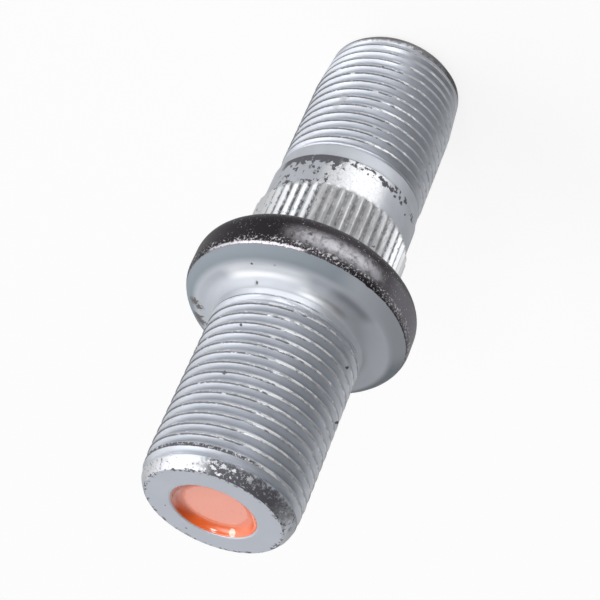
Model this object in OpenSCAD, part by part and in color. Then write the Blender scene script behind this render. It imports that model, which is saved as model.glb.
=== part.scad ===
// Double-ended wheel stud, standing on its hub end with the wheel end up.
// One forging: two rolled threads, a bullnose collar, a serrated press-fit shank
// and a plain pilot band, with a dab of paint in the dished wheel end.
// Millimetres. The origin is the middle of the hub end face and +Z is the axis.

/* [Lengths along the axis] */
// Hub-side thread, from the hub end face to the plain neck
hub_thread_len = 21.5; // [15:0.5:40]
// Plain neck between the hub-side thread and the pilot band
neck_len = 2.3; // [1.5:0.1:5]
// Pilot band
pilot_len = 4.6; // [3:0.1:10]
// Serrated shank, from the pilot band to the seat of the collar
serration_len = 8.9; // [6:0.1:20]
// Collar, from its seat to its front face
collar_len = 7.6; // [6:0.1:14]
// Wheel side, from the front face of the collar to the wheel end face
wheel_side_len = 27.6; // [18:0.5:60]

/* [Threads] */
// Major diameter of both threads
thread_d = 19.8; // [19.6:0.05:20]
// Thread pitch, right-hand
pitch = 1.5; // [1.25:0.25:2]
// Depth of the thread from crest to root
thread_depth = 0.92; // [0.6:0.02:1]
// Width of the flat crest
crest_w = 0.38; // [0.3:0.02:0.6]
// Straight segments in one turn of the thread
turn_segments = 32; // [16:4:48]
// Angle at which the wheel-side thread starts, about the axis
wheel_thread_angle = 60; // [0:1:359]
// Angle at which the hub-side thread starts, about the axis
hub_thread_angle = 285; // [0:1:359]

/* [Shank] */
// Diameter of the plain neck beside the hub-side thread
neck_d = 19.6; // [19:0.05:19.8]
// Diameter of the pilot band
pilot_d = 20.1; // [19.9:0.05:20.4]
// Diameter over the tips of the serrations
serration_d = 21.05; // [20.8:0.05:21.6]
// Number of serration teeth
serration_count = 49; // [36:1:60]
// Depth of a serration tooth
serration_depth = 0.62; // [0.4:0.02:0.8]
// Width of the flat on a tooth's tip
tooth_tip_w = 0.16; // [0.1:0.02:0.3]

/* [Collar] */
// Outer diameter of the collar
collar_d = 29.9; // [27:0.1:36]
// Corner radius at the collar's front
front_round = 2.7; // [0.5:0.1:3.4]
// Corner radius at the collar's seat
back_round = 2.8; // [0.5:0.1:3]
// Fillet between the wheel-side thread and the collar
front_fillet = 1.9; // [0.5:0.1:3]
// Fillet between the serrations and the seat
seat_fillet = 0.9; // [0.6:0.1:1.2]

/* [Ends] */
// Flat diameter of the wheel end face
wheel_face_d = 17.2; // [16:0.1:18]
// Flat diameter of the hub end face
hub_face_d = 17.6; // [16:0.1:18]
// Diameter of the dish in the wheel end, where its rounded lip begins
dish_d = 10.4; // [6:0.1:12]
// Depth of the painted floor of the dish
dish_depth = 0.95; // [0.8:0.05:2]
// Thickness of the paint
paint_t = 0.12; // [0.1:0.02:0.3]

/* [Hidden] */
$fn = 96;

thread_r = thread_d / 2;
neck_r = neck_d / 2;
pilot_r = pilot_d / 2;
collar_r = collar_d / 2;
tip_r = serration_d / 2;
valley_r = tip_r - serration_depth;
// Core under the teeth, and where the fillet at the seat begins, clear of the valleys
core_r = valley_r - 0.25;
seat_fillet_r = valley_r + 0.2 + seat_fillet;
// Depth of the reliefs where the threads end at the collar and at the neck
relief = 0.28;

// Heights of the steps, from the hub end up
neck_z = hub_thread_len;
pilot_z = neck_z + neck_len;
serration_z = pilot_z + pilot_len;
seat_z = serration_z + serration_len;
front_z = seat_z + collar_len;
fillet_z = front_z + front_fillet;
top_z = front_z + wheel_side_len;

// Outline of the wheel-side blank: [depth below the end face, radius]
wheel_blank = [[0, wheel_face_d / 2], [0.8, thread_r - 0.65], [1.2, thread_r - 0.42],
               [2.2, thread_r - 0.14], [4.2, thread_r], [wheel_side_len, thread_r]];
// Outline of the hub-side blank: [height above the end face, radius]
hub_blank = [[0, hub_face_d / 2], [0.7, thread_r - 0.54], [2.5, thread_r - 0.38], [6.8, thread_r],
             [neck_z - 1.05, thread_r], [neck_z, neck_r - relief + 0.05]];
// Plain pieces at the two tips, which carry the end faces
wheel_tip_len = 0.8;
hub_tip_len = 0.35;
// A thread's end ring sits this far inside the plain piece beside it, and this much under its surface
ring_overlap = 0.25;
ring_inset = 0.08;
// Least height between an end ring and the helix
ring_gap = 0.35;
// Height at which each thread's first crest starts
wheel_thread_z = front_z + 1.1;
hub_thread_z = 0.47;
// How deep each thread's inner end sits in the collar and in the neck
collar_bite = 1.4;
neck_bite = 0.35;
// Turns over which a groove runs out at the collar, at the neck and at the tips
collar_runout = 0.6;
neck_runout = 0.35;
tip_runout = 0.4;

// Dish: lip flare, then a wall that sweeps into a flat floor
lip_depth = 0.3;
sweep_angle = 55;
sweep_r = (dish_depth - lip_depth) / (1 - cos(sweep_angle));
sweep_steps = 6;

// Relief ring at the collar's end of the thread: height and width of its floor, how far out
// its two sides run, and how far they fall and rise on the way
ring_z = fillet_z + 0.2;
ring_w = 0.2;
ring_reach = 0.68;
cone_drop = 1.1;
wall_rise = 0.53;

// Height of the ramps at the hub end of the serrations
tooth_fade = 1.1;
valley_fade = 0.8;
// How far the teeth run on into the pilot band and into the collar
tooth_lead = 0.1;
tooth_bite = 0.6;

// Radius of the unthreaded blank at height z
function blank_r(z) = z > front_z ? lookup(top_z - z, wheel_blank) : lookup(z, hub_blank);

// Share of the full depth of a groove after u of a thread's turns
function groove_share(u, turns, low_fade, high_fade) =
    max(0, min(1, u / low_fade, (turns - u) / high_fade));

// Offsets of the helix's three rows within one turn: crest foot, crest top, root
row_offsets = [0, crest_w, (pitch + crest_w) / 2];

// Point of row q at segment i of a helix of so many turns
function row_point(start_z, turns, q, i, angle, fades) =
    let (u = floor(q / 3) + i / turn_segments,
         z = start_z + pitch * u + row_offsets[q % 3],
         depth = thread_depth * groove_share(u, turns, fades[0], fades[1]),
         r = q % 3 == 2 ? min(blank_r(z), thread_r - depth) : blank_r(z),
         a = angle + 360 * i / turn_segments)
    [r * cos(a), r * sin(a), z];

// A right-hand thread as one closed solid between two flat rings. Rows climb with
// the angle, so the end of row q is the start of row q + 3, and the seam column
// runs on past the last row to close against the upper ring.
module thread(low, high, start_z, angle, fades) {
    n = turn_segments;
    turns = floor((high - ring_gap - start_z) / pitch) - 1;
    rows = 3 * turns;
    function ring(z) = [for (i = [0 : n - 1])
        let (a = angle + 360 * i / n, r = blank_r(z) - ring_inset) [r * cos(a), r * sin(a), z]];
    wall = [for (q = [0 : rows], i = [0 : n - 1]) row_point(start_z, turns, q, i, angle, fades)];
    seam = [for (q = [rows + 1 : rows + 3]) row_point(start_z, turns, q, 0, angle, fades)];
    seam_at = len(wall);
    low_at = seam_at + len(seam);
    high_at = low_at + n;
    function at(q, i) = i == n ? at(q + 3, 0) : q <= rows ? q * n + i : seam_at + q - rows - 1;
    function low_ring(i) = low_at + i % n;
    function high_ring(i) = high_at + i % n;
    strips = [for (q = [0 : rows - 1], i = [0 : n - 1])
        each [[at(q, i), at(q + 1, i), at(q + 1, i + 1)],
              [at(q, i), at(q + 1, i + 1), at(q, i + 1)]]];
    low_wedge = [for (i = [0 : n - 2])
        each [[low_ring(i), at(0, i), at(0, i + 1)],
              [low_ring(i), at(0, i + 1), low_ring(i + 1)]]];
    low_seam = concat([[at(0, n - 1), low_ring(0), low_ring(n - 1)],
                       [at(0, n - 1), at(0, 0), low_ring(0)]],
                      [for (k = [0 : 2]) [at(0, n - 1), at(k + 1, 0), at(k, 0)]]);
    high_wedge = [for (i = [1 : n - 1])
        each [[at(rows, i), high_ring(i), high_ring(i + 1)],
              [at(rows, i), high_ring(i + 1), at(rows, i + 1)]]];
    high_seam = concat([[at(rows, 1), high_ring(0), high_ring(1)],
                        [at(rows, 1), at(rows + 3, 0), high_ring(0)]],
                       [for (k = [0 : 2]) [at(rows, 1), at(rows + k, 0), at(rows + k + 1, 0)]]);
    caps = [[for (i = [0 : n - 1]) low_ring(i)], [for (i = [n - 1 : -1 : 0]) high_ring(i)]];
    polyhedron(points = concat(wall, seam, ring(low), ring(high)),
               faces = concat(strips, low_wedge, low_seam, high_wedge, high_seam, caps));
}

// Plain tip turned from the first stretch of a blank's outline
module tip_piece(blank, length) {
    rotate_extrude()
        polygon([[0, 0], [blank[0][1], 0], [lookup(length, blank), length], [0, length]]);
}

// Half section of the collar, with its rounds and its two fillets
module collar_section() {
    flat_r = collar_r - max(front_round, back_round);
    translate([0, seat_z]) square([flat_r, collar_len]);
    translate([0, seat_z + back_round]) square([collar_r, collar_len - back_round - front_round]);
    translate([collar_r - back_round, seat_z + back_round]) circle(r = back_round);
    translate([collar_r - front_round, front_z - front_round]) circle(r = front_round);
    difference() {
        translate([0, front_z - 1]) square([thread_r + front_fillet, front_fillet + 1]);
        translate([thread_r + front_fillet, fillet_z]) circle(r = front_fillet);
    }
    difference() {
        translate([0, seat_z - seat_fillet]) square([seat_fillet_r, seat_fillet + 1]);
        translate([seat_fillet_r, seat_z - seat_fillet]) circle(r = seat_fillet);
    }
}

// Half section of the plain shank: the relief beside the thread, the neck, the
// pilot band with its broken edge, and the ramps where the serrations run out
module shank_section() {
    polygon([[0, neck_z - 0.4], [neck_r - relief, neck_z - 0.4], [neck_r - relief, neck_z],
             [neck_r, neck_z + relief], [neck_r, pilot_z - 0.1], [pilot_r - 0.12, pilot_z],
             [pilot_r, pilot_z + 0.15], [pilot_r, serration_z],
             [core_r, serration_z + valley_fade], [core_r, serration_z + 2], [0, serration_z + 2]]);
}

// Straight 90 degree teeth, faded to points where they meet the pilot band
module serrations() {
    tip_half = asin(tooth_tip_w / 2 / tip_r);
    tooth = 360 / serration_count;
    low_z = serration_z - tooth_lead;
    high_z = seat_z + tooth_bite;
    intersection() {
        translate([0, 0, low_z])
            linear_extrude(height = high_z - low_z)
                polygon([for (i = [0 : serration_count - 1],
                              p = [[tip_r, -tip_half], [tip_r, tip_half], [valley_r, tooth / 2]])
                         p[0] * [cos(i * tooth + p[1]), sin(i * tooth + p[1])]]);
        rotate_extrude()
            polygon([[0, low_z - 1], [pilot_r - 0.45, low_z - 1], [tip_r + 0.1, serration_z + tooth_fade],
                     [tip_r + 0.1, high_z + 1], [0, high_z + 1]]);
    }
}

// Dish in the wheel end as a half section, sunk by a further depth
module dish_section(sunk) {
    floor_r = dish_d / 2 - sweep_r * sin(sweep_angle);
    floor_z = top_z - dish_depth;
    translate([0, -sunk])
        polygon(concat([[0, floor_z]],
            [for (k = [0 : sweep_steps]) let (a = sweep_angle * k / sweep_steps)
                [floor_r + sweep_r * sin(a), floor_z + sweep_r * (1 - cos(a))]],
            [[dish_d / 2, top_z + 1], [0, top_z + 1]]));
}

// Rounded lip of the dish as a half section of what is turned away
module lip_section() {
    polygon([[0, top_z - lip_depth - paint_t], [dish_d / 2, top_z - lip_depth],
             [dish_d / 2 + 0.1, top_z - 0.12], [dish_d / 2 + 0.32, top_z], [dish_d / 2 + 0.32, top_z + 1],
             [0, top_z + 1]]);
}

// Relief ring at the collar's end of the wheel-side thread, as a half section
module ring_section() {
    floor_r = thread_r - relief;
    polygon([[floor_r, ring_z], [floor_r + ring_reach, ring_z - cone_drop],
             [floor_r + ring_reach, ring_z + ring_w + wall_rise], [floor_r, ring_z + ring_w]]);
}

module stud() {
    color([0.66, 0.69, 0.73])
        difference() {
            union() {
                translate([0, 0, top_z]) mirror([0, 0, 1]) tip_piece(wheel_blank, wheel_tip_len);
                thread(fillet_z - collar_bite, top_z - wheel_tip_len + ring_overlap, wheel_thread_z,
                       wheel_thread_angle, [collar_runout, tip_runout]);
                rotate_extrude() collar_section();
                rotate_extrude() shank_section();
                serrations();
                thread(hub_tip_len - ring_overlap, neck_z + neck_bite, hub_thread_z,
                       hub_thread_angle, [tip_runout, neck_runout]);
                tip_piece(hub_blank, hub_tip_len);
            }
            rotate_extrude() dish_section(paint_t);
            rotate_extrude() lip_section();
            rotate_extrude() ring_section();
        }
}

// Paint film that lines the floor and the wall of the dish
module paint_mark() {
    color([0.93, 0.45, 0.33])
        rotate_extrude()
            intersection() {
                difference() {
                    dish_section(paint_t);
                    dish_section(0);
                }
                square([dish_d, top_z - lip_depth]);
            }
}

stud();
paint_mark();
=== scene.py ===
"""Looks of a double-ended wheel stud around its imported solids.

A finely meshed forging and a glossy dab of paint take the place of the two
solids, both are dressed in procedural finishes, and a plain studio is set
round them. Sizes are in millimetres until a mesh is finished, when it is
scaled to metres once. Heights run from the hub end face up.
"""
import logging
import math
from dataclasses import dataclass, field
from enum import Enum

import bmesh
import bpy
from mathutils import Matrix, Vector

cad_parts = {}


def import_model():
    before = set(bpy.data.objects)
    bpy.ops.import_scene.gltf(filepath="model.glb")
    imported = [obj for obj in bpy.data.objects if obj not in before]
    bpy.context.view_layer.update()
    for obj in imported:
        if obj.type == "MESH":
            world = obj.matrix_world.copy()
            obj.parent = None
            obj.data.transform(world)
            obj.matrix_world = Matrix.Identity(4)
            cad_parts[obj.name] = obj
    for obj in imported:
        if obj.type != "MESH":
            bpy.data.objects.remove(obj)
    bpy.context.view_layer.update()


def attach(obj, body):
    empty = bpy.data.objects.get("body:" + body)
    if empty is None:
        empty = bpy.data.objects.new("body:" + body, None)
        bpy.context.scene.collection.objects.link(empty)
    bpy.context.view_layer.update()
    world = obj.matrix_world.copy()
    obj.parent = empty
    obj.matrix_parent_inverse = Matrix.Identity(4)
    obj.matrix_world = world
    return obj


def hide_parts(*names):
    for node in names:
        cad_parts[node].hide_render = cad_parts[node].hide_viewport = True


LOG = logging.getLogger("wheel_stud")
MM = 0.001
FULL_TURN = 2 * math.pi
MERGE_DISTANCE = 0.0005
Point = tuple[float, float]
Outline = list[Point]
Socket = bpy.types.NodeSocket
Value = float | Socket
Colour = tuple[float, float, float]
Place = tuple[float, float, float]


def lookup(value: float, table: Outline) -> float:
    """Interpolate a table of (place, value) pairs, held flat beyond its ends.

    Args:
        value: The place to read at.
        table: Pairs in rising order of place.

    Returns:
        The value at that place.
    """
    if value <= table[0][0]:
        return table[0][1]
    for (low, a), (high, b) in zip(table[:-1], table[1:]):
        if value <= high:
            return a + (b - a) * (value - low) / (high - low)
    return table[-1][1]


def arc(centre: Point, radius: float, start: float, end: float, steps: int) -> Outline:
    """Draw an arc of a half section.

    Args:
        centre: (radius from the axis, height) of the arc's centre.
        radius: Radius of the arc.
        start: First angle in degrees, from the outward direction up.
        end: Last angle in degrees.
        steps: Straight steps along the arc.

    Returns:
        Points as (radius from the axis, height).
    """
    angles = [math.radians(start + (end - start) * k / steps) for k in range(steps + 1)]
    return [(centre[0] + radius * math.cos(a), centre[1] + radius * math.sin(a)) for a in angles]


def line(start: Point, end: Point, steps: int) -> Outline:
    """Draw evenly spaced points between two points of a half section, without the last."""
    return [(start[0] + (end[0] - start[0]) * k / steps, start[1] + (end[1] - start[1]) * k / steps)
            for k in range(steps)]


def between(start: Point, end: Point, share: float) -> Point:
    """Point at a share of the way from one point to another."""
    return (start[0] + (end[0] - start[0]) * share, start[1] + (end[1] - start[1]) * share)


def draw(mesh: bmesh.types.BMesh, outline: Outline,
         angle: float = 0.0) -> list[bmesh.types.BMVert | bmesh.types.BMEdge]:
    """Draw a half section as a chain of edges in a mesh.

    Args:
        mesh: The mesh to draw in.
        outline: Points as (radius from the axis, height).
        angle: Bearing of the half plane, in radians.

    Returns:
        The new vertices and edges, ready to spin.
    """
    verts = [mesh.verts.new((r * math.cos(angle), r * math.sin(angle), z)) for r, z in outline]
    return verts + [mesh.edges.new(pair) for pair in zip(verts[:-1], verts[1:])]


def turn(outline: Outline, segments: int) -> bmesh.types.BMesh:
    """Turn a half section once round the axis.

    Args:
        outline: Points as (radius from the axis, height).
        segments: Straight steps round the axis.

    Returns:
        A new mesh, closed round the axis and at its poles.
    """
    part = bmesh.new()
    bmesh.ops.spin(part, geom=draw(part, outline), cent=(0, 0, 0), axis=(0, 0, 1), dvec=(0, 0, 0),
                   angle=FULL_TURN, steps=segments, use_merge=True, use_normal_flip=False,
                   use_duplicate=False)
    bmesh.ops.remove_doubles(part, verts=part.verts, dist=MERGE_DISTANCE)
    return part


def stack(part: bmesh.types.BMesh, copies: int, rise: float) -> bmesh.types.BMesh:
    """Stack copies of a part above each other.

    Args:
        part: The part, which is freed.
        copies: How many copies.
        rise: Height from each copy to the next.

    Returns:
        A new mesh of all the copies.
    """
    carrier = bpy.data.meshes.new("carrier")
    part.to_mesh(carrier)
    part.free()
    mesh = bmesh.new()
    for _ in range(copies):
        mesh.from_mesh(carrier)
        carrier.transform(Matrix.Translation((0, 0, rise)))
    bpy.data.meshes.remove(carrier)
    return mesh


def add(mesh: bmesh.types.BMesh, part: bmesh.types.BMesh) -> None:
    """Add a part to a mesh.

    Args:
        mesh: The mesh that grows.
        part: The part, which is freed.
    """
    carrier = bpy.data.meshes.new("carrier")
    part.to_mesh(carrier)
    part.free()
    mesh.from_mesh(carrier)
    bpy.data.meshes.remove(carrier)


def bearing(vert: bmesh.types.BMVert) -> float:
    """Angle of a vertex about the axis, from 0 up to a full turn."""
    return math.atan2(vert.co.y, vert.co.x) % FULL_TURN


class Region(Enum):
    """Stretches of the forging that have a finish of their own."""

    THREAD = 0
    END_FACE = 1
    COLLAR = 2
    SHANK = 3


@dataclass(frozen=True)
class StudSizes:
    """Driving sizes of the stud."""

    length: float = 72.5
    neck_z: float = 21.5
    pilot_z: float = 23.8
    serration_z: float = 28.4
    seat_z: float = 37.3
    front_z: float = 44.9
    thread_r: float = 9.9
    relief_r: float = 9.62
    neck_r: float = 9.8
    pilot_r: float = 10.05
    tooth_tip_r: float = 10.525
    tooth_valley_r: float = 9.905
    collar_r: float = 14.95
    front_round: float = 2.7
    back_round: float = 2.8
    front_fillet: float = 1.9
    seat_fillet: float = 0.9
    hub_face_r: float = 8.8
    wheel_face_r: float = 8.62
    dish_r: float = 5.2
    lip_depth: float = 0.3
    dish_depth: float = 0.95
    sweep_angle: float = 55.0
    tooth_count: int = 49
    tip_rise: float = 1.1
    valley_rise: float = 0.5
    paint_t: float = 0.12

    def dish(self, sunk: float, steps: int) -> Outline:
        """Section of the dish from its wall down to the middle of its floor.

        Args:
            sunk: How far below the painted surface the section runs.
            steps: Straight steps along the swept wall.

        Returns:
            Points as (radius from the axis, height).
        """
        drop = 1 - math.cos(math.radians(self.sweep_angle))
        sweep_r = (self.dish_depth - self.lip_depth) / drop
        floor_r = self.dish_r - sweep_r * math.sin(math.radians(self.sweep_angle))
        floor_z = self.length - self.dish_depth - sunk
        wall = arc((floor_r, floor_z + sweep_r), sweep_r, self.sweep_angle - 90, -90, steps)
        return wall + [(floor_r * k / 4, floor_z) for k in (3, 2, 1, 0)]


@dataclass(frozen=True)
class ThreadForm:
    """Section and lead of a rolled right-hand thread."""

    pitch: float = 1.5
    depth: float = 0.86
    crest_w: float = 0.38
    crest_soft: float = 0.05
    crest_ease: float = 0.004
    crest_drop: float = 0.035
    root_soft: float = 0.07
    root_lift: float = 0.05
    segments: int = 140

    def section(self) -> Outline:
        """Draw one pitch of the section.

        Returns:
            Points as (depth under the crest, offset along the axis).
        """
        top = self.crest_w
        root = (self.pitch + self.crest_w) / 2
        low = self.depth - self.root_lift
        shoulder, floor = (self.crest_drop, top), (low, root - self.root_soft)
        rise, edge = (low, root + self.root_soft), (self.crest_drop, self.pitch)
        crest = [(self.crest_drop, 0.0), (self.crest_ease, self.crest_soft), (0.0, top / 2),
                 (self.crest_ease, top - self.crest_soft)]
        down = [shoulder, *(between(shoulder, floor, share) for share in (0.07, 0.2, 0.93)), floor]
        up = [rise, *(between(rise, edge, share) for share in (0.07, 0.93)), edge]
        return crest + down + [(self.depth, root)] + up


@dataclass(frozen=True)
class ThreadRun:
    """One threaded stretch: where its helix starts and stops, and the blank it is rolled on."""

    start_z: float
    start_angle: float
    turns: float
    low_cut: float
    high_cut: float
    low_fade: float
    high_fade: float
    blank: Outline

    def share(self, turns_up: float) -> float:
        """Share of the groove's full depth after so many turns."""
        return max(0.0, min(1.0, turns_up / self.low_fade, (self.turns - turns_up) / self.high_fade))

    def holds(self, z: float) -> bool:
        """Whether a height lies on this stretch."""
        return self.low_cut - 0.01 <= z <= self.high_cut + 0.01


@dataclass
class Forging:
    """The one-piece steel stud."""

    sizes: StudSizes
    thread: ThreadForm
    wheel_run: ThreadRun = field(init=False)
    hub_run: ThreadRun = field(init=False)

    TOOTH_PLACES = (0.0, 0.12, 0.33, 0.53, 0.59, 0.79)
    TOOTH_HEIGHTS = (1.0, 1.0, 0.5, 0.0, 0.0, 0.5)
    TOOTH_SHIFT = math.radians(1.9)
    JOINT_GAP = 0.05
    SHARP_ANGLE = math.radians(42)
    FACE_SKIN = 0.002
    LIP_R = 5.7
    WORN_SHARE = 0.2

    def __post_init__(self) -> None:
        """Lay out the two threads."""
        s = self.sizes
        r, top, relief = s.thread_r, s.length, s.relief_r
        self.wheel_run = ThreadRun(
            start_z=46.0, start_angle=60.0, turns=16.5, low_cut=47.1, high_cut=71.62,
            low_fade=1.5, high_fade=0.35,
            blank=[(46.5, r + 0.03), (47.0, relief), (47.2, relief), (47.42, r), (top - 4.3, r),
                   (top - 2.2, r - 0.14), (top - 1.7, r - 0.28), (top - 1.2, r - 0.43),
                   (top - 0.8, r - 0.65)])
        self.hub_run = ThreadRun(
            start_z=-0.0917, start_angle=150.0, turns=13.8, low_cut=0.5, high_cut=21.18,
            low_fade=0.2, high_fade=0.35,
            blank=[(0, s.hub_face_r), (0.7, r - 0.54), (2.5, r - 0.38), (6.8, r), (20.45, r),
                   (21.4, relief)])

    def build(self) -> bpy.types.Object:
        """Mesh and dress the forging.

        Returns:
            The finished object in metres, with a region number on each face and the
            attributes crest, brink and groove on each vertex.
        """
        mesh = bmesh.new()
        segments = self.thread.segments
        tooth_steps = self.sizes.tooth_count * len(self.TOOTH_PLACES)
        add(mesh, turn(self.hub_tip(), segments))
        add(mesh, self.screw(self.hub_run))
        add(mesh, self.serrate(turn(self.body(), tooth_steps)))
        add(mesh, self.screw(self.wheel_run))
        add(mesh, turn(self.wheel_tip(), segments))
        self.bridge(mesh)
        bmesh.ops.recalc_face_normals(mesh, faces=mesh.faces)
        for edge in mesh.edges:
            edge.smooth = edge.calc_face_angle(0) < self.SHARP_ANGLE
        for face in mesh.faces:
            face.smooth = True
            face.material_index = self.region(face).value
        rates = self.marks(mesh)
        piece = finish(mesh, "stud_forging")
        for name, values in rates.items():
            store(piece, name, values)
        self.dress(piece)
        return piece

    @staticmethod
    def dress(piece: bpy.types.Object) -> None:
        """Give each region of the forging its finish.

        Args:
            piece: The finished object.
        """
        finishes = {Region.THREAD: ThreadFinish("coated_thread"),
                    Region.END_FACE: EndFaceFinish("coated_end_face"),
                    Region.COLLAR: CollarFinish("collar_steel"),
                    Region.SHANK: ShankFinish("shank_steel")}
        for region in Region:
            piece.data.materials.append(finishes[region].material())

    def hub_tip(self) -> Outline:
        """Draw the section of the hub end face and its chamfer.

        Returns:
            Points as (radius from the axis, height).
        """
        s, run = self.sizes, self.hub_run
        last = run.low_cut - self.JOINT_GAP
        return [(0, 0), (4, 0), (7.4, 0), (8.5, 0), (s.hub_face_r - 0.04, 0.0), (s.hub_face_r + 0.02, 0.03),
                (s.hub_face_r + 0.2, 0.25), (lookup(last, run.blank), last)]

    def wheel_tip(self) -> Outline:
        """Draw the section of the wheel end: its worn chamfer, its face, the lip and the dish.

        Returns:
            Points as (radius from the axis, height).
        """
        s, run = self.sizes, self.wheel_run
        first = run.high_cut + self.JOINT_GAP
        top = s.length
        edge = [(lookup(first, run.blank), first), (9.19, 71.8), (9.05, 72.02), (8.9, 72.22), (8.76, 72.37),
                (s.wheel_face_r + 0.03, top - 0.04), (s.wheel_face_r - 0.02, top)]
        face = [(8.55, top), (7.8, top), (6.8, top), (5.8, top), (5.62, top)]
        lip = [(5.55, top - 0.015), (5.46, top - 0.07), (5.38, top - 0.16), (5.3, top - 0.26)]
        return edge + face + lip + s.dish(s.paint_t, 8)

    def body(self) -> Outline:
        """Draw the section between the two threads, with the serrations still a plain band.

        Returns:
            Points as (radius from the axis, height).
        """
        s = self.sizes
        relief_z = s.neck_z - 0.04
        first, last = self.hub_run.high_cut + self.JOINT_GAP, self.wheel_run.low_cut - self.JOINT_GAP
        neck = [(lookup(first, self.hub_run.blank), first), (s.relief_r, 21.4),
                (s.relief_r - 0.08, relief_z), (s.relief_r - 0.08, s.neck_z + 0.02),
                (s.neck_r - 0.1, s.neck_z + 0.14), (s.neck_r - 0.02, s.neck_z + 0.24),
                (s.neck_r, s.neck_z + 0.36)]
        neck += line((s.neck_r, s.neck_z + 0.8), (s.neck_r, s.pilot_z - 0.12), 3)
        pilot = [(s.neck_r, s.pilot_z - 0.12), (s.neck_r + 0.03, s.pilot_z - 0.06),
                 (s.pilot_r - 0.1, s.pilot_z), (s.pilot_r - 0.03, s.pilot_z + 0.08),
                 (s.pilot_r, s.pilot_z + 0.18)]
        pilot += line((s.pilot_r, s.pilot_z + 0.8), (s.pilot_r, s.serration_z - 0.15), 5)
        pilot += [(s.pilot_r, s.serration_z - 0.15), (s.pilot_r, s.serration_z - 0.05)]
        valley = s.tooth_valley_r
        ramp = [(valley, s.serration_z + rise) for rise in (0.02, 0.12, 0.25, 0.38, 0.5, 0.7, 0.9, 1.1)]
        ramp += line((valley, s.serration_z + 1.6), (valley, s.seat_z - s.seat_fillet), 10)
        seat_r = valley + 0.2 + s.seat_fillet
        seat = arc((seat_r, s.seat_z - s.seat_fillet), s.seat_fillet, 180, 90, 7)
        back = arc((s.collar_r - s.back_round, s.seat_z + s.back_round), s.back_round, -90, 0, 12)
        rim = [(s.collar_r, s.seat_z + s.back_round + 0.7), (s.collar_r, s.front_z - s.front_round - 0.7)]
        front = arc((s.collar_r - s.front_round, s.front_z - s.front_round), s.front_round, 0, 90, 12)
        fillet = arc((s.thread_r + s.front_fillet, s.front_z + s.front_fillet), s.front_fillet,
                     -90, -168, 9)
        cone = [(s.thread_r + 0.025, 46.52), (s.relief_r + 0.01, last - 0.05), (s.relief_r, last)]
        return neck + pilot + ramp + seat + back + rim + front + fillet + cone

    def screw(self, run: ThreadRun) -> bmesh.types.BMesh:
        """Mesh one threaded stretch by spinning one pitch of the section up its helix.

        Args:
            run: The stretch to mesh.

        Returns:
            A new mesh, cut flat at both ends of the stretch.
        """
        form, crest_r = self.thread, self.sizes.thread_r
        turn_of = bmesh.new()
        below = max(0, math.ceil((run.start_z + form.pitch - run.low_cut) / form.pitch))
        first_z = run.start_z - below * form.pitch
        turns = math.ceil((run.high_cut + form.pitch - first_z) / form.pitch)
        outline = [(crest_r - depth, first_z + offset) for depth, offset in form.section()]
        seed = draw(turn_of, outline, math.radians(run.start_angle))
        bmesh.ops.spin(turn_of, geom=seed, cent=(0, 0, 0), axis=(0, 0, 1),
                       dvec=(0, 0, form.pitch / form.segments), angle=FULL_TURN, steps=form.segments,
                       use_merge=False, use_normal_flip=False, use_duplicate=False)
        part = stack(turn_of, turns, form.pitch)
        bmesh.ops.remove_doubles(part, verts=part.verts, dist=MERGE_DISTANCE)
        for vert in part.verts:
            radius = vert.co.xy.length
            cut = max(0.0, crest_r - radius - (1 - run.share(self.climb(vert, run)[0])) * form.depth)
            scale = min(lookup(vert.co.z, run.blank), crest_r - cut) / radius
            vert.co.xy = vert.co.xy * scale
        for height, outer in ((run.low_cut, False), (run.high_cut, True)):
            bmesh.ops.bisect_plane(part, geom=part.verts[:] + part.edges[:] + part.faces[:], dist=1e-5,
                                   plane_co=(0, 0, height), plane_no=(0, 0, 1), clear_outer=outer,
                                   clear_inner=not outer)
        return part

    def climb(self, vert: bmesh.types.BMVert, run: ThreadRun) -> Point:
        """Read a vertex's place on a helix.

        Args:
            vert: The vertex.
            run: The threaded stretch.

        Returns:
            Turns from the helix's start, and the offset within one pitch.
        """
        pitch = self.thread.pitch
        turned = (bearing(vert) - math.radians(run.start_angle)) / FULL_TURN
        phase = (vert.co.z - run.start_z) / pitch - turned
        offset = pitch * (phase - math.floor(phase + 0.001))
        return (vert.co.z - offset - run.start_z) / pitch, offset

    def serrate(self, part: bmesh.types.BMesh) -> bmesh.types.BMesh:
        """Raise the straight teeth out of the plain band under the collar.

        Args:
            part: The turned body.

        Returns:
            The same mesh.
        """
        s = self.sizes
        count = len(self.TOOTH_PLACES)
        step = FULL_TURN / (s.tooth_count * count)
        for vert in part.verts:
            column = round(bearing(vert) / step)
            place, height = column % count, self.TOOTH_HEIGHTS[column % count]
            angle = (column // count + self.TOOTH_PLACES[place]) * step * count + self.TOOTH_SHIFT
            radius, up = vert.co.xy.length, vert.co.z - s.serration_z
            if 0 < up < s.seat_z - s.serration_z - 0.001:
                tip = lookup(up, [(0, s.pilot_r), (s.tip_rise, s.tooth_tip_r)])
                valley = lookup(up, [(0, s.pilot_r), (s.valley_rise, s.tooth_valley_r)])
                radius = max(valley + height * (tip - valley), radius)
            vert.co.xy = (radius * math.cos(angle), radius * math.sin(angle))
        return part

    def bridge(self, mesh: bmesh.types.BMesh) -> None:
        """Close the narrow gaps between the stretches, ring to ring.

        Args:
            mesh: The mesh of all the stretches.
        """
        gap = self.JOINT_GAP
        for run in (self.hub_run, self.wheel_run):
            for middle in (run.low_cut - gap / 2, run.high_cut + gap / 2):
                rims = [e for e in mesh.edges if e.is_boundary
                        and all(abs(v.co.z - middle) < gap * 0.7 for v in e.verts)]
                bmesh.ops.bridge_loops(mesh, edges=rims)

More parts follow.
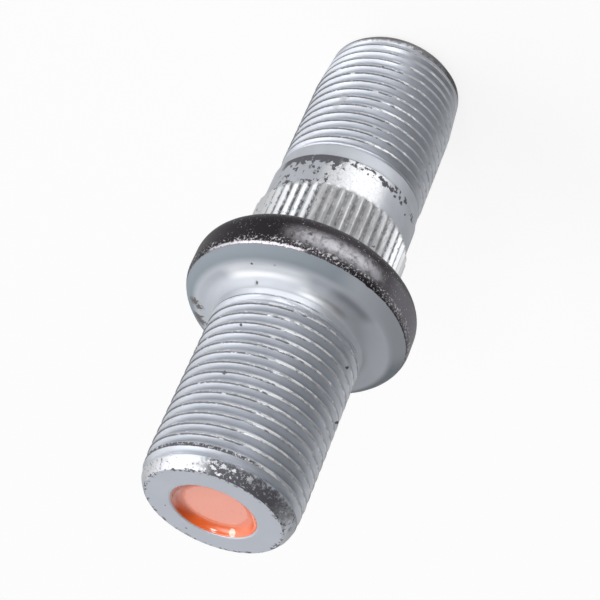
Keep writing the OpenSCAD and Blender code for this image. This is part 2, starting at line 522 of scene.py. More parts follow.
    def region(self, face: bmesh.types.BMFace) -> Region:
        """Find the region of a face by the place of its middle.

        Args:
            face: The face.

        Returns:
            Its region.
        """
        s = self.sizes
        middle = face.calc_center_median()
        radius, z = middle.xy.length, middle.z
        in_dish = z > s.length - 2 and radius < self.LIP_R
        if z < self.FACE_SKIN or z > s.length - self.FACE_SKIN or in_dish:
            return Region.END_FACE
        if z < s.neck_z - 0.07 or z > s.front_z + s.front_fillet - 0.38:
            return Region.THREAD
        if z < s.seat_z - 0.01:
            return Region.SHANK
        return Region.COLLAR

    def marks(self, mesh: bmesh.types.BMesh) -> dict[str, list[float]]:
        """Rate each vertex for wear.

        Args:
            mesh: The finished mesh.

        Returns:
            For each vertex: crest, 1 on a crest or a tooth's tip; brink, 1 along the edge of a crest
            that faces the wheel end; groove, the share of the depth of a groove.
        """
        s, form = self.sizes, self.thread
        rates: dict[str, list[float]] = {"crest": [], "brink": [], "groove": []}
        for vert in mesh.verts:
            radius, z = vert.co.xy.length, vert.co.z
            crest = brink = groove = 0.0
            run = next((run for run in (self.hub_run, self.wheel_run) if run.holds(z)), None)
            if run is not None:
                turns_up, offset = self.climb(vert, run)
                if run.share(turns_up) > self.WORN_SHARE:
                    crest = float(offset < form.crest_w + 0.01)
                    brink = float(form.crest_w / 2 + 0.01 < offset < form.crest_w + 0.06)
                groove = max(0.0, lookup(z, run.blank) - radius) / form.depth
            elif s.serration_z + 0.1 < z < s.seat_z - 0.01:
                tall = (radius - s.tooth_valley_r) / (s.tooth_tip_r - s.tooth_valley_r)
                crest = max(0.0, min(1.0, tall))
                groove = 1 - crest
            for name, rate in (("crest", crest), ("brink", brink), ("groove", groove)):
                rates[name].append(rate)
        return rates


@dataclass(frozen=True)
class PaintDab:
    """The marking paint in the dish of the wheel end."""

    sizes: StudSizes
    segments: int = 144

    def build(self) -> bpy.types.Object:
        """Mesh the paint as a closed skin that laps over the lip, and dress it.

        Returns:
            The finished object in metres.
        """
        s = self.sizes
        top = s.length
        lap = [(5.36, top - 0.2), (5.4, top - 0.15), (5.39, top - 0.11), (5.33, top - 0.14),
               (s.dish_r + 0.04, top - 0.24)]
        skin = s.dish(0.0, 12)
        under = s.dish(s.paint_t * 0.8, 6)[::-1]
        mesh = turn(under + lap + skin, self.segments)
        bmesh.ops.recalc_face_normals(mesh, faces=mesh.faces)
        for face in mesh.faces:
            face.smooth = True
        piece = finish(mesh, "orange_paint")
        piece.data.materials.append(PaintFinish().material())
        return piece


def finish(mesh: bmesh.types.BMesh, name: str) -> bpy.types.Object:
    """Scale a mesh to metres and make it an object.

    Args:
        mesh: The mesh in millimetres, which is freed.
        name: Name of the piece.

    Returns:
        The linked object.
    """
    bmesh.ops.scale(mesh, vec=(MM, MM, MM), verts=mesh.verts)
    data = bpy.data.meshes.new(name)
    mesh.to_mesh(data)
    mesh.free()
    piece = bpy.data.objects.new(name, data)
    bpy.context.scene.collection.objects.link(piece)
    return piece


def store(piece: bpy.types.Object, name: str, values: list[float]) -> None:
    """Store a number on each vertex of a piece."""
    piece.data.attributes.new(name, "FLOAT", "POINT").data.foreach_set("value", values)


class Graph:
    """A short way to write one material's nodes. Places are in millimetres."""

    FRAY = 2.8
    CORE = 0.7

    def __init__(self, name: str) -> None:
        """Start a material with a shader and the place of the shaded point.

        Args:
            name: Name of the material.
        """
        self.material = bpy.data.materials.new(name)
        self.material.use_nodes = True
        self.tree = self.material.node_tree
        self.tree.nodes.clear()
        self.shader = self.tree.nodes.new("ShaderNodeBsdfPrincipled")
        self.output = self.tree.nodes.new("ShaderNodeOutputMaterial")
        self.tree.links.new(self.shader.outputs[0], self.output.inputs[0])
        metres = self.tree.nodes.new("ShaderNodeTexCoord").outputs["Object"]
        self.place = self.vector("SCALE", metres, scale=1 / MM)
        parts = self.node("ShaderNodeSeparateXYZ", self.place)
        self.x, self.y, self.z = parts.outputs
        self.radius = self.math("SQRT", self.math("ADD", self.math("MULTIPLY", self.x, self.x),
                                                  self.math("MULTIPLY", self.y, self.y)))

    def node(self, kind: str, *values: Value | Colour, **settings: str | int | bool) -> bpy.types.Node:
        """Add a node.

        Args:
            kind: The node's type.
            values: What goes into its first sockets, in order.
            settings: The node's own options.

        Returns:
            The node.
        """
        node = self.tree.nodes.new(kind)
        for name, setting in settings.items():
            setattr(node, name, setting)
        for socket, value in zip(node.inputs, values):
            self.feed(socket, value)
        return node

    def feed(self, socket: Socket, value: Value | Colour) -> None:
        """Link a value to a socket, or set it there if it is a constant.

        Args:
            socket: The socket.
            value: A number, a colour or another node's output.
        """
        if isinstance(value, Socket):
            self.tree.links.new(value, socket)
        elif isinstance(value, tuple) and socket.type == "RGBA":
            socket.default_value = (*value, 1.0)
        else:
            socket.default_value = value

    def math(self, operation: str, *values: Value) -> Socket:
        """Work out a number."""
        return self.node("ShaderNodeMath", *values, operation=operation).outputs[0]

    def product(self, *values: Value) -> Socket:
        """Multiply numbers.

        Args:
            values: The numbers.

        Returns:
            Their product.
        """
        total = values[0]
        for value in values[1:]:
            total = self.math("MULTIPLY", total, value)
        return total

    def inverse(self, value: Value) -> Socket:
        """One minus a number."""
        return self.math("SUBTRACT", 1.0, value)

    def most(self, *values: Value) -> Socket:
        """Find the largest of several numbers.

        Args:
            values: The numbers.

        Returns:
            The largest.
        """
        total = values[0]
        for value in values[1:]:
            total = self.math("MAXIMUM", total, value)
        return total

    def weigh(self, value: Socket, *parts: tuple[Socket, float]) -> Socket:
        """Add weighted masks to a number.

        Args:
            value: The number.
            parts: The masks, each with its weight.

        Returns:
            The sum.
        """
        for mask, weight in parts:
            value = self.math("ADD", value, self.product(mask, weight))
        return value

    def frayed(self, value: Socket, cloud: Socket, width: float) -> Socket:
        """Make a measure ragged by a cloudy pattern, by up to half the width either way."""
        return self.weigh(value, (self.math("SUBTRACT", cloud, 0.5), width))

    def vector(self, operation: str, value: Socket, other: Place = (0, 0, 0),
               scale: float = 1.0) -> Socket:
        """Work out a vector, or a number where the operation gives one.

        Args:
            operation: The node's operation.
            value: The first vector.
            other: The second vector.
            scale: Factor for the operation SCALE.

        Returns:
            The vector, or its length or distance.
        """
        node = self.node("ShaderNodeVectorMath", value, operation=operation)
        node.inputs[1].default_value = other
        node.inputs[3].default_value = scale
        return node.outputs[1 if operation in ("LENGTH", "DISTANCE") else 0]

    def attribute(self, name: str) -> Socket:
        """Read a number stored on the mesh."""
        return self.node("ShaderNodeAttribute", attribute_name=name).outputs["Fac"]

    def noise(self, scale: float, detail: float = 3.0, stretch: Place = (1, 1, 1),
              rough: float = 0.55) -> Socket:
        """Read a cloudy pattern.

        Args:
            scale: Blotches per millimetre.
            detail: Octaves of finer pattern.
            stretch: Factors on the place along each axis; under 1 draws the pattern out.
            rough: Share of the finer octaves.

        Returns:
            A number around 0.5.
        """
        place = self.vector("MULTIPLY", self.place, stretch)
        return self.node("ShaderNodeTexNoise", place, 0.0, scale, detail, rough).outputs[0]

    def step(self, value: Value, low: float, high: float) -> Socket:
        """Rise smoothly from 0 at low to 1 at high, or fall where low is the greater.

        Args:
            value: The number to judge.
            low: Where the result is 0.
            high: Where the result is 1.

        Returns:
            A number from 0 to 1.
        """
        if low > high:
            return self.inverse(self.step(value, high, low))
        node = self.node("ShaderNodeMapRange", value, low, high, 0.0, 1.0,
                         interpolation_type="SMOOTHSTEP")
        return node.outputs[0]

    def band(self, value: Value, low: float, high: float, soft: float) -> Socket:
        """1 between two limits and 0 outside them."""
        return self.product(self.step(value, low - soft, low + soft),
                            self.step(value, high + soft, high - soft))

    def sector(self, middle: float, half: float, soft: float) -> Socket:
        """1 within a sector about the axis.

        Args:
            middle: Bearing of its middle, in degrees.
            half: Half its width, in degrees.
            soft: Degrees over which it fades out.

        Returns:
            The mask.
        """
        a = math.radians(middle)
        along = self.math("ADD", self.product(self.x, math.cos(a)), self.product(self.y, math.sin(a)))
        cosine = self.math("DIVIDE", along, self.radius)
        return self.step(cosine, math.cos(math.radians(half + soft)), math.cos(math.radians(half)))

    def mix(self, share: Value, a: Value, b: Value) -> Socket:
        """Mix two numbers.

        Args:
            share: Share of the second number.
            a: The first number.
            b: The second number.

        Returns:
            The mixture.
        """
        node = self.node("ShaderNodeMix", data_type="FLOAT")
        for socket, value in zip((node.inputs[0], node.inputs[2], node.inputs[3]), (share, a, b)):
            self.feed(socket, value)
        return node.outputs[0]

    def tint(self, share: Value, a: Socket | Colour, b: Socket | Colour) -> Socket:
        """Mix two colours.

        Args:
            share: Share of the second colour.
            a: The first colour.
            b: The second colour.

        Returns:
            The mixture.
        """
        node = self.node("ShaderNodeMix", data_type="RGBA")
        for socket, value in zip((node.inputs[0], node.inputs[6], node.inputs[7]), (share, a, b)):
            self.feed(socket, value)
        return node.outputs[2]

    def spot(self, mark: "Mark", ragged: Socket) -> Socket:
        """Mask one mark on the surface, with a ragged edge.

        Args:
            mark: The mark.
            ragged: The pattern that frays its edge.

        Returns:
            The mask.
        """
        distance = self.vector("DISTANCE", self.place, mark.place())
        edge = self.frayed(distance, ragged, mark.size * self.FRAY)
        return self.step(edge, mark.size, mark.size * self.CORE)

    def bump(self, height: Value, distance: float) -> None:
        """Give the shader a relief.

        Args:
            height: The relief, from 0 to 1.
            distance: What 1 stands for, in millimetres.
        """
        node = self.node("ShaderNodeBump")
        node.inputs["Strength"].default_value = 1.0
        node.inputs["Distance"].default_value = distance * MM
        self.feed(node.inputs["Height"], height)
        self.feed(self.shader.inputs["Normal"], node.outputs[0])


@dataclass(frozen=True)
class Mark:
    """A single mark on the surface, by bearing in degrees, radius, height and size."""

    bearing: float
    radius: float
    z: float
    size: float

    def place(self) -> Place:
        """Middle of the mark."""
        a = math.radians(self.bearing)
        return (self.radius * math.cos(a), self.radius * math.sin(a), self.z)


@dataclass(frozen=True)
class Layer:
    """One state of the surface: its colour, how metallic and how rough it is."""

    colour: Colour
    metallic: float
    roughness: float


class SteelFinish:
    """What the four finishes of the forging share."""

    COAT = Layer((0.55, 0.575, 0.625), 0.65, 0.36)
    BARE = Layer((0.86, 0.87, 0.89), 0.95, 0.34)
    WORN = Layer((0.40, 0.39, 0.385), 0.6, 0.5)
    CHARCOAL = Layer((0.085, 0.085, 0.1), 0.25, 0.55)
    OXIDE = Layer((0.034, 0.029, 0.035), 0.85, 0.38)
    TONES = (0.93, 1.05)
    DOT_SUNK = 0.3
    RELIEF_MM = 0.03

    def __init__(self, name: str) -> None:
        """Start the material with its plain coating.

        Args:
            name: Name of the material.
        """
        self.graph = Graph(name)
        g = self.graph
        self.cloud = g.noise(0.22, 3.0)
        self.grain = g.noise(3.4, 4.0)
        self.flecks = g.noise(1.5, 6.0, rough=0.62)
        dull, clean = (tuple(part * tone for part in self.COAT.colour) for tone in self.TONES)
        self.colour: Socket = g.tint(g.step(self.cloud, 0.35, 0.7), dull, clean)
        self.roughness: Value = g.mix(self.grain, self.COAT.roughness - 0.05, self.COAT.roughness + 0.07)
        self.metallic: Value = self.COAT.metallic
        self.relief: Value = g.product(self.grain, 0.3)

    def lay(self, mask: Socket, layer: Layer, sunk: float = 0.0) -> None:
        """Lay another state of the surface over what is there.

        Args:
            mask: Where it lies.
            layer: The state.
            sunk: How far it lies below the coating, as a share of the relief.
        """
        g = self.graph
        self.colour = g.tint(mask, self.colour, layer.colour)
        self.roughness = g.mix(mask, self.roughness, layer.roughness)
        self.metallic = g.mix(mask, self.metallic, layer.metallic)
        if sunk:
            self.relief = g.math("SUBTRACT", self.relief, g.product(mask, sunk))

    def dot(self, layer: Layer, *marks: Mark) -> None:
        """Lay single marks over what is there."""
        for mark in marks:
            self.lay(self.graph.spot(mark, self.grain), layer, self.DOT_SUNK)

    def done(self) -> bpy.types.Material:
        """Feed the shader.

        Returns:
            The material.
        """
        g = self.graph
        g.feed(g.shader.inputs["Base Color"], self.colour)
        g.feed(g.shader.inputs["Roughness"], self.roughness)
        g.feed(g.shader.inputs["Metallic"], self.metallic)
        g.bump(self.relief, self.RELIEF_MM)
        return g.material


class ThreadFinish(SteelFinish):
    """Coated thread, worn bright or dark along its crests and round its start; the dark crest edges are
    partly a painted dark reflection, and its grooves hold painted shade.
    """

    CREST = Layer((0.35, 0.36, 0.38), 0.6, 0.45)
    CHAMFER = Layer((0.66, 0.67, 0.70), 0.85, 0.42)
    SMOKE = Layer((0.17, 0.17, 0.185), 0.4, 0.5)
    BROWN = Layer((0.12, 0.11, 0.105), 0.3, 0.5)
    SMUDGE = Layer((0.36, 0.37, 0.39), 0.6, 0.48)
    GROOVE_SHADE: Colour = (0.2, 0.205, 0.22)
    SMUDGES = (Mark(306.9, 9.8, 12.96, 0.8), Mark(304.5, 9.8, 13.0, 0.6), Mark(308.7, 9.8, 14.65, 0.6))
    DOTS = (Mark(284.6, 9.8, 6.7, 0.22), Mark(281.7, 9.8, 8.28, 0.16), Mark(306.9, 9.6, 52.1, 0.24),
            Mark(301.7, 9.75, 59.4, 0.3), Mark(213.5, 9.7, 50.2, 0.3), Mark(192.5, 9.75, 56.0, 0.34))

    def material(self) -> bpy.types.Material:
        """Dress the threads and both chamfers.

        Returns:
            The material.
        """
        g = self.graph
        self.crests()
        self.wheel_chamfer()
        self.hub_chamfer()
        for smudge in self.SMUDGES:
            self.lay(g.product(g.spot(smudge, self.grain), 0.55), self.SMUDGE)
        self.dot(self.CHARCOAL, *self.DOTS)
        # Painted shade: the roots of the grooves are darkened.
        deep = g.product(g.step(g.attribute("groove"), 0.7, 1.0), 0.25)
        self.colour = g.tint(deep, self.colour, self.GROOVE_SHADE)
        return self.done()

    def crests(self) -> None:
        """Wear the crests: bright in front, dark flecked edges on one side, thinner on the other. The dark
        edges are partly wear and partly a painted dark reflection.
        """
        g = self.graph
        lit, shaded, front = g.sector(318, 38, 16), g.sector(212, 24, 14), g.sector(262, 20, 12)
        streaks = g.noise(1.7, 5.0, (0.45, 0.45, 1.3), 0.6)
        wobble = g.noise(2.6, 3.0)
        crest = g.step(g.frayed(g.attribute("crest"), wobble, 1.1), 0.55, 0.8)
        brink = g.step(g.frayed(g.attribute("brink"), wobble, 1.1), 0.5, 0.75)
        hub_side = g.step(g.z, 22.0, 21.0)
        worn = g.weigh(streaks, (front, 0.09), (lit, -0.05), (shaded, -0.09), (hub_side, -0.09))
        self.lay(g.product(g.attribute("crest"), g.mix(lit, 0.65, 0.2)), self.CREST)
        self.lay(g.product(crest, g.step(worn, 0.5, 0.58), 0.9), self.BARE, 0.2)
        # Dark flecks along the crest edges, most on the lit side: partly wear and partly a painted dark
        # reflection.
        dark = g.weigh(g.noise(1.5, 5.0, (0.5, 0.5, 1.4), 0.65), (lit, 0.14), (front, -0.05))
        far_side = g.sector(205, 36, 18)
        self.lay(g.product(brink, g.step(dark, 0.46, 0.56), g.mix(far_side, 0.9, 0.2)), self.CHARCOAL, 0.4)
        self.lay(g.product(brink, far_side, g.step(streaks, 0.42, 0.55), 0.45), self.BARE)

    def wheel_chamfer(self) -> None:
        """Wear the chamfer of the wheel end: a bright band on one side, charcoal flaking beyond it."""
        g = self.graph
        pits = g.noise(2.4, 6.0, rough=0.7)
        ragged = g.frayed(g.z, self.flecks, 1.2)
        tip = g.step(ragged, 71.15, 71.3)
        band = g.product(tip, g.step(g.frayed(g.sector(320, 24, 26), self.flecks, 2.2), 0.4, 0.55))
        self.lay(band, self.CHAMFER, 0.3)
        self.lay(g.product(band, g.step(pits, 0.58, 0.61)), self.CHARCOAL, 0.5)
        smoke = g.product(g.step(ragged, 70.6, 71.0), g.sector(242, 24, 22))
        self.lay(g.product(smoke, g.step(self.flecks, 0.34, 0.5), 0.8), self.SMOKE, 0.2)
        thick = g.step(g.weigh(pits, (g.step(g.z, 71.4, 72.2), 0.06)), 0.43, 0.48)
        char = g.product(g.step(ragged, 70.7, 71.1), g.sector(256, 24, 16), thick)
        faint = g.product(g.step(ragged, 70.4, 70.9), g.sector(222, 22, 14), g.step(pits, 0.53, 0.58), 0.8)
        self.lay(g.most(char, faint), self.CHARCOAL, 0.5)
        patches = g.product(tip, g.sector(274, 14, 12), g.step(self.flecks, 0.53, 0.56))
        self.lay(patches, self.CHAMFER, 0.3)
        first = g.product(g.band(g.z, 69.4, 71.2, 0.1), g.sector(305, 45, 15),
                          g.most(g.attribute("crest"), g.attribute("brink")))
        self.lay(g.product(first, g.step(pits, 0.46, 0.5)), self.CHARCOAL, 0.5)
        edge = g.product(g.step(g.z, 72.32, 72.42), g.step(self.flecks, 0.5, 0.56))
        self.lay(edge, self.CHARCOAL, 0.2)

    def hub_chamfer(self) -> None:
        """Darken the rim of the hub end."""
        g = self.graph
        ragged = g.frayed(g.z, self.flecks, 0.9)
        self.lay(g.step(ragged, 0.5, 0.35), self.BROWN, 0.2)
        self.lay(g.product(g.step(ragged, 1.3, 1.0), g.sector(258, 50, 20), 0.85), self.BROWN, 0.2)


class EndFaceFinish(SteelFinish):
    """Flat coated end face with worn flecks round its rim."""

    TINT: Colour = (0.53, 0.555, 0.62)
    ROUGHNESS = 0.52
    DOTS = (Mark(71.4, 7.03, 72.5, 0.16), Mark(30, 6.4, 72.5, 0.1))

    def material(self) -> bpy.types.Material:
        """Dress both end faces and the dish.

        Returns:
            The material.
        """
        g = self.graph
        self.colour = g.tint(0.75, self.colour, self.TINT)
        self.roughness = self.ROUGHNESS
        flecks = g.noise(1.9, 5.0, rough=0.65)
        near_rim = g.step(g.radius, 7.9, 8.5)
        self.lay(g.product(near_rim, g.step(g.weigh(flecks, (near_rim, 0.08)), 0.6, 0.64)),
                 self.CHARCOAL, 0.3)
        self.lay(g.product(g.step(flecks, 0.7, 0.74), 0.6), self.CHARCOAL)
        self.dot(self.CHARCOAL, *self.DOTS)
        return self.done()


class CollarFinish(SteelFinish):
    """Coated front of the collar, matt on its round, and its rim of dark oxide."""

    TINT: Colour = (0.475, 0.50, 0.545)
    METALLIC = 0.52
    MATT = Layer((0.215, 0.245, 0.278), 0.12, 0.7)
    SIDE_LIGHT = Layer((0.46, 0.48, 0.52), 0.35, 0.6)
    FLAT_HIGHLIGHT = Layer((0.96, 0.97, 0.99), 0.85, 0.38)
    FILLET_HIGHLIGHT = Layer((0.62, 0.64, 0.67), 0.8, 0.4)
    DARK_REFLECTION = Layer((0.17, 0.18, 0.2), 0.4, 0.55)
    RUBBED_SHEEN = Layer((0.7, 0.69, 0.73), 0.85, 0.42)
    LILAC_SHEEN = Layer((0.46, 0.44, 0.49), 0.7, 0.48)
    SPECK = Layer((0.62, 0.61, 0.63), 0.8, 0.4)
    EDGE = Layer((0.66, 0.63, 0.67), 0.8, 0.38)
    BLOTCH = Layer((0.42, 0.42, 0.47), 0.6, 0.45)
    BROWN = Layer((0.13, 0.122, 0.12), 0.3, 0.5)
    OXIDE_TOP = 43.42
    CHIPS = (Mark(13, 13.0, 44.8, 0.8), Mark(16.5, 12.4, 44.88, 0.65), Mark(27, 13.1, 44.8, 0.9),
             Mark(31, 12.9, 44.83, 0.75))

    def material(self) -> bpy.types.Material:
        """Dress the collar and the fillet in front of it.

        Returns:
            The material.
        """
        self.front()
        self.rim()
        self.dot(self.BROWN, *self.CHIPS)
        return self.done()

    def front(self) -> None:
        """Dull the round of the front and paint one side of it lighter, and paint highlights on its flat
        and its fillet with a dark reflection beside them.
        """
        g = self.graph
        self.roughness, self.metallic = g.mix(self.grain, 0.48, 0.6), self.METALLIC
        self.colour = g.tint(0.8, self.colour, self.TINT)
        self.lay(g.step(g.radius, 12.6, 13.6), self.MATT)
        # Painted light: one side of the round is made lighter.
        self.lay(g.product(g.step(g.radius, 12.4, 13.4), g.sector(220, 24, 18), 0.6), self.SIDE_LIGHT)
        # Painted highlight on the flat next to the fillet.
        self.lay(g.product(g.band(g.radius, 10.9, 12.5, 0.5), g.sector(300, 15, 18)), self.FLAT_HIGHLIGHT)
        # Painted highlight on the fillet.
        self.lay(g.product(g.step(g.radius, 10.7, 10.3), g.sector(256, 10, 14)), self.FILLET_HIGHLIGHT)
        # Painted dark reflection on the flat beside the highlight.
        self.lay(g.product(g.band(g.radius, 11.0, 12.6, 0.8), g.sector(241, 6, 14), 0.72), self.DARK_REFLECTION)
        self.dot(self.WORN, Mark(306.8, 10.15, 45.88, 0.34), Mark(292.6, 12.58, 44.87, 0.16))
        self.dot(self.CHARCOAL, Mark(306.8, 10.15, 45.88, 0.2), Mark(306.9, 12.57, 44.87, 0.2))

    def rim(self) -> None:
        """Blacken the rim, and chip and rub it along its upper edge. A patch worn bare on it is partly wear
        and partly a painted highlight, and a lilac tone on one side is a painted sheen.
        """
        g, top = self.graph, self.OXIDE_TOP
        ragged = g.frayed(g.z, self.flecks, 0.35)
        self.lay(g.step(ragged, 43.5, top), self.OXIDE)
        # Patch of bare metal on the rim: partly wear and partly a painted highlight.
        rubbed_sheen = g.product(g.band(g.z, 40.4, 42.2, 0.9), g.sector(264, 9, 22))
        self.lay(g.product(rubbed_sheen, g.step(self.flecks, 0.2, 0.62), 0.9), self.RUBBED_SHEEN)
        # Painted sheen: a lighter lilac tone on one side of the rim.
        self.lay(g.product(g.band(g.z, 39.5, 43.2, 0.5), g.sector(206, 16, 20), 0.42), self.LILAC_SHEEN)
        chips = g.noise(3.2, 6.0, rough=0.7)
        edge = g.product(g.band(ragged, 42.3, top, 0.25), g.mix(g.sector(245, 60, 20), 0.06, 0.08))
        specks = g.step(g.math("ADD", chips, edge), 0.62, 0.66)
        self.lay(g.product(specks, g.step(ragged, 43.52, top)), self.SPECK, 0.3)
        light = g.product(g.band(ragged, 43.12, top, 0.06), g.sector(306, 22, 8))
        self.lay(g.product(light, g.step(chips, 0.38, 0.45)), self.EDGE)
        self.lay(g.product(g.spot(Mark(242.8, 14.9, 41.48, 0.75), self.flecks), 0.6), self.BLOTCH)


class ShankFinish(SteelFinish):
    """Coated neck, polished pilot band and worn serrations."""

    SHADE = Layer((0.42, 0.43, 0.46), 0.6, 0.42)
    SCRAPED = Layer((0.44, 0.44, 0.45), 0.6, 0.45)
    HOLLOW_DARK = Layer((0.13, 0.132, 0.138), 0.3, 0.55)
    TOP = 72.5
    PILOT_R = 10.05
    CHIPS = ((-17.8, 46.5, 0.36), (-18.3, 47.0, 0.36), (-16.8, 47.4, 0.3), (-12, 48.3, 0.5),
             (-10.5, 46.8, 0.24), (-6, 47.9, 0.24), (7, 47.5, 0.2), (17.3, 48.0, 0.38), (21.5, 47.4, 0.38),
             (28.5, 47.6, 0.4), (33.5, 47.1, 0.24), (31.5, 48.4, 0.22), (38, 47.6, 0.28), (41, 47.2, 0.34),
             (45, 48.1, 0.4), (50, 46.6, 0.2))

    def material(self) -> bpy.types.Material:
        """Dress the neck, the pilot band and the serrations.

        Returns:
            The material.
        """
        self.pilot()
        self.teeth()
        return self.done()

    def pilot(self) -> None:
        """Polish the pilot band in front, and flake it along its hub-side edge."""
        g = self.graph
        on_band = g.step(g.z, 23.8, 23.9)
        self.lay(g.product(on_band, g.sector(318, 24, 14), 0.3), self.SHADE)
        mottled = g.mix(g.step(g.noise(3.0, 5.0, rough=0.65), 0.4, 0.54), 0.6, 0.96)
        polished = g.product(on_band, g.sector(270, 17, 12), g.step(self.flecks, 0.3, 0.4), mottled)
        self.lay(polished, self.BARE)
        flakes = g.noise(1.1, 5.0, rough=0.6)
        massed = g.weigh(flakes, (g.step(g.z, 26.2, 24.3), 0.24))
        thick = g.product(on_band, g.sector(309, 22, 9), g.step(massed, 0.57, 0.59))
        few = g.product(g.band(g.z, 23.8, 28.0, 0.1), g.sector(248, 36, 12), g.step(massed, 0.76, 0.79))
        self.lay(g.most(thick, few), self.CHARCOAL, 0.5)
        edge = g.product(g.band(g.z, 23.62, 23.84, 0.05), g.step(flakes, 0.38, 0.5), 0.75)
        self.lay(edge, self.CHARCOAL)
        for side, down, size in self.CHIPS:
            self.dot(self.CHARCOAL, Mark(-90 - side, self.PILOT_R, self.TOP - down, size))

    def teeth(self) -> None:
        """Wear the tips of the serrations bright and fill their grooves with dark specks."""
        g = self.graph
        on_teeth, middle = g.step(g.z, 28.6, 28.9), g.sector(258, 26, 12)
        tall = g.frayed(g.attribute("crest"), self.flecks, 0.6)
        self.lay(g.product(on_teeth, g.step(tall, 0.35, 0.5)), self.BARE)
        scrape = g.step(g.noise(1.3, 4.0, (1.0, 1.0, 0.25), 0.6), 0.36, 0.56)
        self.lay(g.product(on_teeth, middle, g.mix(scrape, 0.35, 0.85)), self.SCRAPED)
        pits = g.noise(2.4, 5.0, (1.0, 1.0, 0.6), 0.65)
        hollow = g.product(on_teeth, g.step(tall, 0.42, 0.2))
        # Dark specks in the hollows between the teeth, fainter in the middle.
        self.lay(g.product(hollow, g.step(pits, 0.4, 0.54), g.mix(middle, 0.95, 0.5)), self.HOLLOW_DARK, 0.3)
        self.lay(g.product(on_teeth, g.step(pits, 0.63, 0.66)), self.CHARCOAL, 0.3)


class PaintFinish:
    """Glossy orange marking paint, with a paler bloom on its flat floor."""

    ORANGE: Colour = (0.78, 0.12, 0.025)
    BRIGHT: Colour = (0.86, 0.17, 0.04)
    SHADE: Colour = (0.36, 0.06, 0.03)
    BLOOM: Colour = (0.9, 0.3, 0.2)
    SPECK: Colour = (0.7, 0.2, 0.13)
    DIRT: Colour = (0.16, 0.05, 0.045)
    GLINT: Colour = (1.0, 0.72, 0.6)

    def material(self) -> bpy.types.Material:
        """Dress the paint.

        Returns:
            The material.
        """
        g = Graph("orange_paint")
        cloud = g.noise(0.9, 3.0)
        ragged = g.frayed(g.radius, g.noise(1.3, 5.0), 0.5)
        wall = g.product(g.step(ragged, 3.9, 4.4), g.sector(12, 40, 25), 0.5)
        deep = g.tint(wall, g.tint(cloud, self.ORANGE, self.BRIGHT), self.SHADE)
        floor = g.step(ragged, 4.05, 3.7)
        specks = g.product(g.step(g.noise(2.2, 5.0), 0.62, 0.7), 0.5)
        body = g.tint(floor, deep, g.tint(specks, self.BLOOM, self.SPECK))
        dirt = g.product(g.spot(Mark(7, 4.24, 71.9, 0.28), cloud), 0.75)
        glint = g.product(g.spot(Mark(127, 4.85, 71.95, 0.62), cloud), 0.85)
        body = g.tint(glint, g.tint(dirt, body, self.DIRT), self.GLINT)
        g.feed(g.shader.inputs["Base Color"], body)
        g.feed(g.shader.inputs["Roughness"], g.mix(floor, 0.16, 0.38))
        g.shader.inputs["Coat Weight"].default_value = 1.0
        g.shader.inputs["Coat Roughness"].default_value = 0.08
        g.bump(g.noise(0.6, 2.0), 0.04)
        return g.material


@dataclass(frozen=True)
class Softbox:
    """A soft light far off, as a round patch of the surroundings that fades out at its reach."""

    azimuth: float
    elevation: float
    reach: float
    strength: float

    def direction(self) -> Vector:
        """Unit vector towards the light."""
        a, e = math.radians(self.azimuth), math.radians(self.elevation)
        return Vector((math.cos(a) * math.cos(e), math.sin(a) * math.cos(e), math.sin(e)))


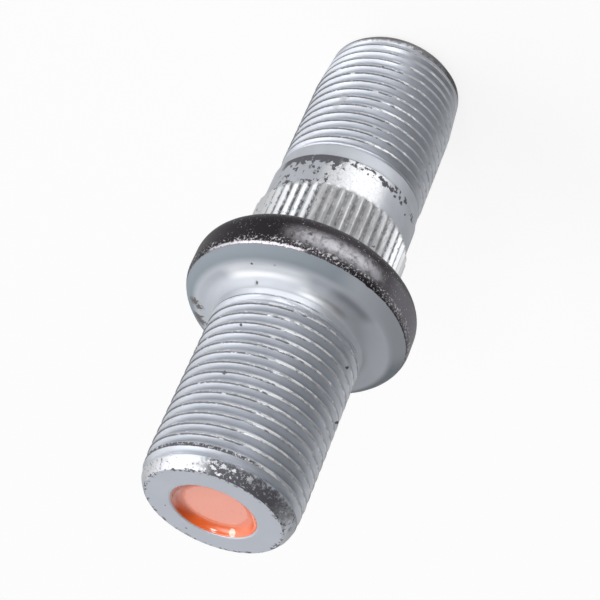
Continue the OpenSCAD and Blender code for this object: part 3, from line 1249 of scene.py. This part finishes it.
@dataclass(frozen=True)
class Studio:
    """Floor, lights and camera."""

    camera_place: Place = (0.4202, -176.9256, 160.1007)
    camera_tilt: float = 34.1284
    camera_roll: float = -156.84
    focal_px: float = 1678.57
    frame_px: float = 600.0
    sensor: float = 36.0
    clip_start: float = 0.01
    floor_r: float = 2.5
    floor_colour: Colour = (0.88, 0.88, 0.88)
    floor_roughness: float = 0.9
    floor_white: float = 0.85
    floor_glow: float = 0.53
    glow_place: Place = (-12.9, -48.3, 0.0)
    glow_edge: float = 50.0
    glow_core: float = 5.0
    ambient: float = 0.02
    softboxes: tuple[Softbox, ...] = (
        *(Softbox(azimuth, 10, 29, strength) for azimuth, strength in (
            (-120, 0.25), (-90, 4.0), (-60, 2.0), (-30, 3.8), (0, 1.6), (30, 0.8), (60, 0.2), (90, 0.35),
            (120, 0.8), (150, 1.1))),
        *(Softbox(azimuth, 36, 29, strength) for azimuth, strength in (
            (0, 1.7), (36, 1.3), (72, 1.1), (108, 0.95), (144, 0.6))),
        Softbox(-10, 57, 24, 2.2),
        *(Softbox(azimuth, 62, 28, strength) for azimuth, strength in (
            (0, 1.5), (-60, 0.8), (60, 0.35), (120, 0.25))),
        Softbox(-66, 54, 9, 20.0))

    def build(self) -> None:
        """Set up the whole studio."""
        self.camera()
        self.floor()
        self.world()

    def camera(self) -> None:
        """Set the camera at the photograph's place."""
        data = bpy.data.cameras.new("camera")
        data.sensor_width = self.sensor
        data.lens = self.sensor * self.focal_px / self.frame_px
        data.clip_start = self.clip_start
        camera = bpy.data.objects.new("camera", data)
        bpy.context.scene.collection.objects.link(camera)
        turn_up = Matrix.Rotation(math.radians(90 - self.camera_tilt), 4, "X")
        roll = Matrix.Rotation(math.radians(self.camera_roll), 4, "Z")
        camera.matrix_world = Matrix.Translation(Vector(self.camera_place) * MM) @ turn_up @ roll
        bpy.context.scene.camera = camera

    def floor(self) -> None:
        """Lay the pale floor, which shows white to the camera and keeps the shadow."""
        mesh = bmesh.new()
        bmesh.ops.create_circle(mesh, cap_ends=True, segments=96, radius=self.floor_r)
        data = bpy.data.meshes.new("floor")
        mesh.to_mesh(data)
        mesh.free()
        floor = bpy.data.objects.new("floor", data)
        bpy.context.scene.collection.objects.link(floor)
        g = Graph("floor")
        g.feed(g.shader.inputs["Base Color"], self.floor_colour)
        g.feed(g.shader.inputs["Roughness"], self.floor_roughness)
        path = g.node("ShaderNodeLightPath")
        camera, glossy = path.outputs["Is Camera Ray"], path.outputs["Is Glossy Ray"]
        near = g.step(g.vector("DISTANCE", g.place, self.glow_place), self.glow_edge, self.glow_core)
        level = g.mix(glossy, 1.0, g.math("ADD", self.floor_glow, near))
        glow = g.node("ShaderNodeEmission", (1, 1, 1), level)
        share = g.most(g.product(camera, self.floor_white), glossy)
        mixed = g.node("ShaderNodeMixShader", share, g.shader.outputs[0], glow.outputs[0])
        g.tree.links.new(mixed.outputs[0], g.output.inputs[0])
        data.materials.append(g.material)

    def world(self) -> None:
        """Light the studio from a soft surround, which shows white to the camera."""
        world = bpy.data.worlds.new("studio")
        bpy.context.scene.world = world
        world.use_nodes = True
        tree = world.node_tree
        tree.nodes.clear()
        around = tree.nodes.new("ShaderNodeTexCoord").outputs["Generated"]
        level: Value = self.ambient
        for box in self.softboxes:
            level = self.patch(tree, around, box, level)
        seen = tree.nodes.new("ShaderNodeMix")
        tree.links.new(tree.nodes.new("ShaderNodeLightPath").outputs["Is Camera Ray"], seen.inputs[0])
        tree.links.new(level, seen.inputs[2])
        seen.inputs[3].default_value = 1.0
        background = tree.nodes.new("ShaderNodeBackground")
        background.inputs["Color"].default_value = (1, 1, 1, 1)
        tree.links.new(seen.outputs[0], background.inputs["Strength"])
        output = tree.nodes.new("ShaderNodeOutputWorld")
        tree.links.new(background.outputs[0], output.inputs[0])

    @staticmethod
    def patch(tree: bpy.types.NodeTree, around: Socket, box: Softbox, level: Value) -> Socket:
        """Add one softbox to the light of the surroundings.

        Args:
            tree: The world's nodes.
            around: Direction of the point that is looked at.
            box: The softbox.
            level: The light so far.

        Returns:
            The light with this softbox in it.
        """
        dot = tree.nodes.new("ShaderNodeVectorMath")
        dot.operation = "DOT_PRODUCT"
        tree.links.new(around, dot.inputs[0])
        dot.inputs[1].default_value = box.direction()
        soft = tree.nodes.new("ShaderNodeMapRange")
        tree.links.new(dot.outputs["Value"], soft.inputs[0])
        soft.inputs[1].default_value = math.cos(math.radians(box.reach))
        soft.inputs[4].default_value = math.sqrt(box.strength)
        total = tree.nodes.new("ShaderNodeMath")
        total.operation = "MULTIPLY_ADD"
        tree.links.new(soft.outputs[0], total.inputs[0])
        tree.links.new(soft.outputs[0], total.inputs[1])
        if isinstance(level, Socket):
            tree.links.new(level, total.inputs[2])
        else:
            total.inputs[2].default_value = level
        return total.outputs[0]


def main() -> None:
    """Build, dress and place every piece."""
    logging.basicConfig(level=logging.INFO, format="%(name)s: %(message)s")
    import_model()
    scene = bpy.context.scene
    scene.view_settings.view_transform = "Standard"
    Studio().build()
    sizes = StudSizes()
    forging, paint = Forging(sizes, ThreadForm()).build(), PaintDab(sizes).build()
    for piece, node, slot in ((forging, "stud", "coated_steel"), (paint, "paint_mark", "orange_paint")):
        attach(piece, "root")
        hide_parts(node)
        mesh = piece.data
        LOG.info("%s: %d vertices, %d faces", piece.name, len(mesh.vertices), len(mesh.polygons))


if __name__ == "__main__":
    main()
